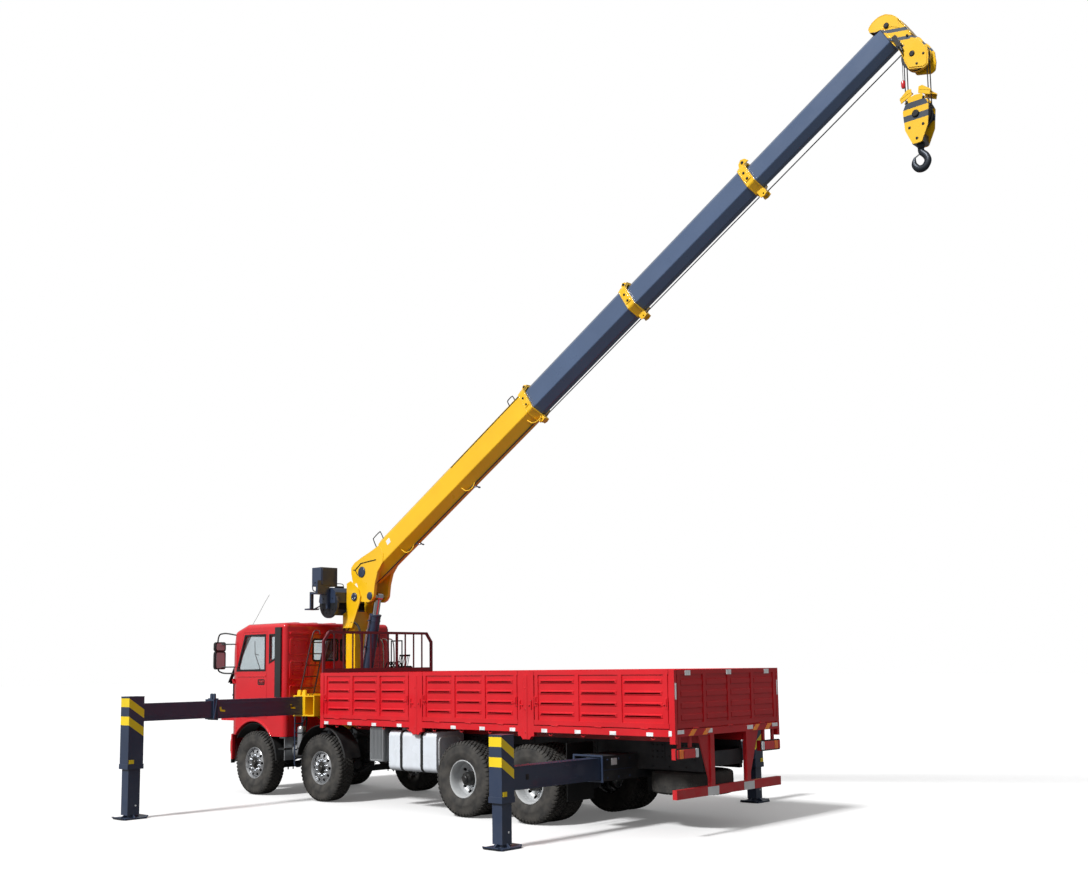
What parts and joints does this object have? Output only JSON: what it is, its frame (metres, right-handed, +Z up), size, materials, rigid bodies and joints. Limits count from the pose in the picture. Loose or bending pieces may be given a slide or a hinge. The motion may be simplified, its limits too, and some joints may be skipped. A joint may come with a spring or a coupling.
{
  "type": "truck-mounted crane",
  "caption": "Cab-over truck with a drop-side cargo bed and a telescopic hydraulic crane between cab and bed, with extending outriggers, a winch and a hook block",
  "frame": {"origin": "centre of the footprint box on the ground", "axes": "+X towards the cab's front, +Y to the truck's left side, +Z up"},
  "size_m": [13.8775, 9.05, 10.4601],
  "materials": {
    "red_paint": "gloss",
    "dark_red_paint": "gloss",
    "yellow_paint": "gloss",
    "slate_paint": "satin",
    "black_frame": "satin",
    "white_paint": "gloss",
    "silver_metal": "brushed",
    "chrome_rod": "polished",
    "black_plastic": "matte",
    "seat_fabric": "matte",
    "window_glass": "clear",
    "tyre_rubber": "matte",
    "hook_steel": "satin"
  },
  "bodies": {
    "chassis": {"chassis_frame": "black_frame", "axles": "black_frame", "powertrain": "black_frame", "cab_shell": "red_paint", "cab_glass": "window_glass", "cab_interior": "seat_fabric", "cab_trim": "red_paint", "fuel_tank": "white_paint", "side_equipment": "silver_metal", "cargo_bed": "red_paint", "headboard": "dark_red_paint", "underrun_bar": "red_paint", "spare_wheel": "tyre_rubber", "crane_base": "yellow_paint"},
    "steering": {"steering_wheel": "black_plastic"},
    "turret": {"slew_column": "yellow_paint", "winch": "slate_paint", "operator_seat": "slate_paint"},
    "luff_barrel": {"luff_barrel": "slate_paint"},
    "luff_rod": {"luff_rod": "chrome_rod"},
    "boom_base": {"boom_base": "yellow_paint"},
    "boom_2": {"boom_section_2": "slate_paint"},
    "boom_3": {"boom_section_3": "slate_paint"},
    "boom_4": {"boom_section_4": "slate_paint", "boom_head": "yellow_paint"},
    "hook_block": {"hook_block": "yellow_paint"},
    "hook": {"hook": "hook_steel"},
    "tailgate": {"tailgate": "red_paint"},
    "door_left": {"door_left": "red_paint", "door_glass_left": "window_glass"},
    "side_panel_left_1": {"side_panel_left_1": "red_paint"},
    "side_panel_left_2": {"side_panel_left_2": "red_paint"},
    "side_panel_left_3": {"side_panel_left_3": "red_paint"},
    "knuckle_1_left": {"knuckle_1_left": "black_frame"},
    "wheel_1_left": {"wheel_1_left": "tyre_rubber"},
    "knuckle_2_left": {"knuckle_2_left": "black_frame"},
    "wheel_2_left": {"wheel_2_left": "tyre_rubber"},
    "wheel_3_left": {"wheel_3_left": "tyre_rubber"},
    "wheel_4_left": {"wheel_4_left": "tyre_rubber"},
    "door_right": {"door_right": "red_paint", "door_glass_right": "window_glass"},
    "side_panel_right_1": {"side_panel_right_1": "red_paint"},
    "side_panel_right_2": {"side_panel_right_2": "red_paint"},
    "side_panel_right_3": {"side_panel_right_3": "red_paint"},
    "knuckle_1_right": {"knuckle_1_right": "black_frame"},
    "wheel_1_right": {"wheel_1_right": "tyre_rubber"},
    "knuckle_2_right": {"knuckle_2_right": "black_frame"},
    "wheel_2_right": {"wheel_2_right": "tyre_rubber"},
    "wheel_3_right": {"wheel_3_right": "tyre_rubber"},
    "wheel_4_right": {"wheel_4_right": "tyre_rubber"},
    "outrigger_front_left_stage": {"outrigger_front_left_stage": "slate_paint"},
    "outrigger_front_left_leg": {"outrigger_front_left_leg": "slate_paint"},
    "outrigger_front_left_jack": {"outrigger_front_left_jack": "slate_paint"},
    "outrigger_rear_left_leg": {"outrigger_rear_left_leg": "slate_paint"},
    "outrigger_rear_left_jack": {"outrigger_rear_left_jack": "slate_paint"},
    "outrigger_front_right_stage": {"outrigger_front_right_stage": "slate_paint"},
    "outrigger_front_right_leg": {"outrigger_front_right_leg": "slate_paint"},
    "outrigger_front_right_jack": {"outrigger_front_right_jack": "slate_paint"},
    "outrigger_rear_right_leg": {"outrigger_rear_right_leg": "slate_paint"},
    "outrigger_rear_right_jack": {"outrigger_rear_right_jack": "slate_paint"}
  },
  "joints": [
    {"name": "steering_turn", "type": "hinge", "parent": "chassis", "child": "steering", "pos_m": [6.2822, 0.68, 2.12], "axis": [-0.4695, 0, 0.8829], "range_deg": [-540, 540]},
    {"name": "door_left_swing", "type": "hinge", "parent": "chassis", "child": "door_left", "pos_m": [6.4572, 1.212, 2.13], "axis": [0, 0, -1], "range_deg": [0, 70]},
    {"name": "side_panel_left_1_drop", "type": "hinge", "parent": "chassis", "child": "side_panel_left_1", "pos_m": [0.8122, 1.256, 1.4], "axis": [-1, 0, 0], "range_deg": [0, 170]},
    {"name": "side_panel_left_2_drop", "type": "hinge", "parent": "chassis", "child": "side_panel_left_2", "pos_m": [0.8122, 1.256, 1.4], "axis": [-1, 0, 0], "range_deg": [0, 170]},
    {"name": "side_panel_left_3_drop", "type": "hinge", "parent": "chassis", "child": "side_panel_left_3", "pos_m": [0.8122, 1.256, 1.4], "axis": [-1, 0, 0], "range_deg": [0, 110]},
    {"name": "steer_1_left", "type": "hinge", "parent": "chassis", "child": "knuckle_1_left", "pos_m": [5.8122, 0.85, 0.5625], "axis": [0, 0, 1], "range_deg": [-33, 33]},
    {"name": "wheel_1_left_roll", "type": "hinge", "parent": "knuckle_1_left", "child": "wheel_1_left", "pos_m": [5.8122, 1.04, 0.5625], "axis": [0, 1, 0], "continuous": true},
    {"name": "steer_2_left", "type": "hinge", "parent": "chassis", "child": "knuckle_2_left", "pos_m": [3.8622, 0.85, 0.5625], "axis": [0, 0, 1], "range_deg": [-22, 22]},
    {"name": "wheel_2_left_roll", "type": "hinge", "parent": "knuckle_2_left", "child": "wheel_2_left", "pos_m": [3.8622, 1.04, 0.5625], "axis": [0, 1, 0], "continuous": true},
    {"name": "wheel_3_left_roll", "type": "hinge", "parent": "chassis", "child": "wheel_3_left", "pos_m": [0.3622, 0.9, 0.5625], "axis": [0, 1, 0], "continuous": true},
    {"name": "wheel_4_left_roll", "type": "hinge", "parent": "chassis", "child": "wheel_4_left", "pos_m": [-0.9878, 0.9, 0.5625], "axis": [0, 1, 0], "continuous": true},
    {"name": "door_right_swing", "type": "hinge", "parent": "chassis", "child": "door_right", "pos_m": [6.4572, -1.212, 2.13], "axis": [0, 0, 1], "range_deg": [0, 70]},
    {"name": "side_panel_right_1_drop", "type": "hinge", "parent": "chassis", "child": "side_panel_right_1", "pos_m": [0.8122, -1.256, 1.4], "axis": [1, 0, 0], "range_deg": [0, 170]},
    {"name": "side_panel_right_2_drop", "type": "hinge", "parent": "chassis", "child": "side_panel_right_2", "pos_m": [0.8122, -1.256, 1.4], "axis": [1, 0, 0], "range_deg": [0, 170]},
    {"name": "side_panel_right_3_drop", "type": "hinge", "parent": "chassis", "child": "side_panel_right_3", "pos_m": [0.8122, -1.256, 1.4], "axis": [1, 0, 0], "range_deg": [0, 110]},
    {"name": "steer_1_right", "type": "hinge", "parent": "chassis", "child": "knuckle_1_right", "pos_m": [5.8122, -0.85, 0.5625], "axis": [0, 0, 1], "range_deg": [-33, 33]},
    {"name": "wheel_1_right_roll", "type": "hinge", "parent": "knuckle_1_right", "child": "wheel_1_right", "pos_m": [5.8122, -1.04, 0.5625], "axis": [0, 1, 0], "continuous": true},
    {"name": "steer_2_right", "type": "hinge", "parent": "chassis", "child": "knuckle_2_right", "pos_m": [3.8622, -0.85, 0.5625], "axis": [0, 0, 1], "range_deg": [-22, 22]},
    {"name": "wheel_2_right_roll", "type": "hinge", "parent": "knuckle_2_right", "child": "wheel_2_right", "pos_m": [3.8622, -1.04, 0.5625], "axis": [0, 1, 0], "continuous": true},
    {"name": "wheel_3_right_roll", "type": "hinge", "parent": "chassis", "child": "wheel_3_right", "pos_m": [0.3622, -0.9, 0.5625], "axis": [0, 1, 0], "continuous": true},
    {"name": "wheel_4_right_roll", "type": "hinge", "parent": "chassis", "child": "wheel_4_right", "pos_m": [-0.9878, -0.9, 0.5625], "axis": [0, 1, 0], "continuous": true},
    {"name": "tailgate_drop", "type": "hinge", "parent": "chassis", "child": "tailgate", "pos_m": [-3.6238, 0, 1.4], "axis": [0, -1, 0], "range_deg": [0, 170]},
    {"name": "slew", "type": "hinge", "parent": "chassis", "child": "turret", "pos_m": [4.3322, 0, 1.84], "axis": [0, 0, 1], "continuous": true},
    {"name": "luff", "type": "hinge", "parent": "turret", "child": "boom_base", "pos_m": [4.1722, 0, 3.5], "axis": [0, 1, 0], "range_deg": [-31.25, 43.75]},
    {"name": "luff_barrel_swing", "type": "hinge", "parent": "turret", "child": "luff_barrel", "pos_m": [4.1122, 0, 1.985], "axis": [0, 1, 0], "range_deg": [-2.3, 3.2]},
    {"name": "luff_rod_slide", "type": "slide", "parent": "luff_barrel", "child": "luff_rod", "axis": [-0.219, 0, 0.9757], "range_m": [-0.215, 0.253]},
    {"name": "telescope_2", "type": "slide", "parent": "boom_base", "child": "boom_2", "axis": [-0.8549, 0, 0.5188], "range_m": [-2.25, 0]},
    {"name": "telescope_3", "type": "slide", "parent": "boom_2", "child": "boom_3", "axis": [-0.8549, 0, 0.5188], "range_m": [-2.25, 0]},
    {"name": "telescope_4", "type": "slide", "parent": "boom_3", "child": "boom_4", "axis": [-0.8549, 0, 0.5188], "range_m": [-2.25, 0]},
    {"name": "hook_hang", "type": "hinge", "parent": "boom_4", "child": "hook_block", "pos_m": [-6.71851, 0, 9.80218], "axis": [0, 1, 0], "range_deg": [-43.75, 31.25]},
    {"name": "hook_swivel", "type": "hinge", "parent": "hook_block", "child": "hook", "pos_m": [-6.71851, 0, 8.50218], "axis": [0, 0, 1], "continuous": true},
    {"name": "outrigger_front_left_extend", "type": "slide", "parent": "chassis", "child": "outrigger_front_left_stage", "axis": [0, 1, 0], "range_m": [-1.66, 0]},
    {"name": "outrigger_front_left_extend_2", "type": "slide", "parent": "outrigger_front_left_stage", "child": "outrigger_front_left_leg", "axis": [0, 1, 0], "range_m": [-1.2, 0]},
    {"name": "outrigger_front_left_lift", "type": "slide", "parent": "outrigger_front_left_leg", "child": "outrigger_front_left_jack", "axis": [0, 0, 1], "range_m": [0, 0.62]},
    {"name": "outrigger_rear_left_extend", "type": "slide", "parent": "chassis", "child": "outrigger_rear_left_leg", "axis": [0, 1, 0], "range_m": [-1.67, 0]},
    {"name": "outrigger_rear_left_lift", "type": "slide", "parent": "outrigger_rear_left_leg", "child": "outrigger_rear_left_jack", "axis": [0, 0, 1], "range_m": [0, 0.45]},
    {"name": "outrigger_front_right_extend", "type": "slide", "parent": "chassis", "child": "outrigger_front_right_stage", "axis": [0, -1, 0], "range_m": [-1.66, 0]},
    {"name": "outrigger_front_right_extend_2", "type": "slide", "parent": "outrigger_front_right_stage", "child": "outrigger_front_right_leg", "axis": [0, -1, 0], "range_m": [-1.2, 0]},
    {"name": "outrigger_front_right_lift", "type": "slide", "parent": "outrigger_front_right_leg", "child": "outrigger_front_right_jack", "axis": [0, 0, 1], "range_m": [0, 0.62]},
    {"name": "outrigger_rear_right_extend", "type": "slide", "parent": "chassis", "child": "outrigger_rear_right_leg", "axis": [0, -1, 0], "range_m": [-1.67, 0]},
    {"name": "outrigger_rear_right_lift", "type": "slide", "parent": "outrigger_rear_right_leg", "child": "outrigger_rear_right_jack", "axis": [0, 0, 1], "range_m": [0, 0.45]}
  ],
  "couplings": [
    {"joint": "steer_1_left", "follows": "steering_turn", "ratio": 0.06},
    {"joint": "steer_2_left", "follows": "steering_turn", "ratio": 0.04},
    {"joint": "steer_1_right", "follows": "steering_turn", "ratio": 0.06},
    {"joint": "steer_2_right", "follows": "steering_turn", "ratio": 0.04},
    {"joint": "luff_barrel_swing", "follows": "luff", "ratio": 0.07},
    {"joint": "luff_rod_slide", "follows": "luff", "m_per_rad": 0.3237},
    {"joint": "telescope_3", "follows": "telescope_2", "ratio": 1},
    {"joint": "telescope_4", "follows": "telescope_2", "ratio": 1},
    {"joint": "hook_hang", "follows": "luff", "ratio": -1},
    {"joint": "outrigger_front_left_extend_2", "follows": "outrigger_front_left_extend", "ratio": 0.7229},
    {"joint": "outrigger_front_right_extend_2", "follows": "outrigger_front_right_extend", "ratio": 0.7229}
  ]
}
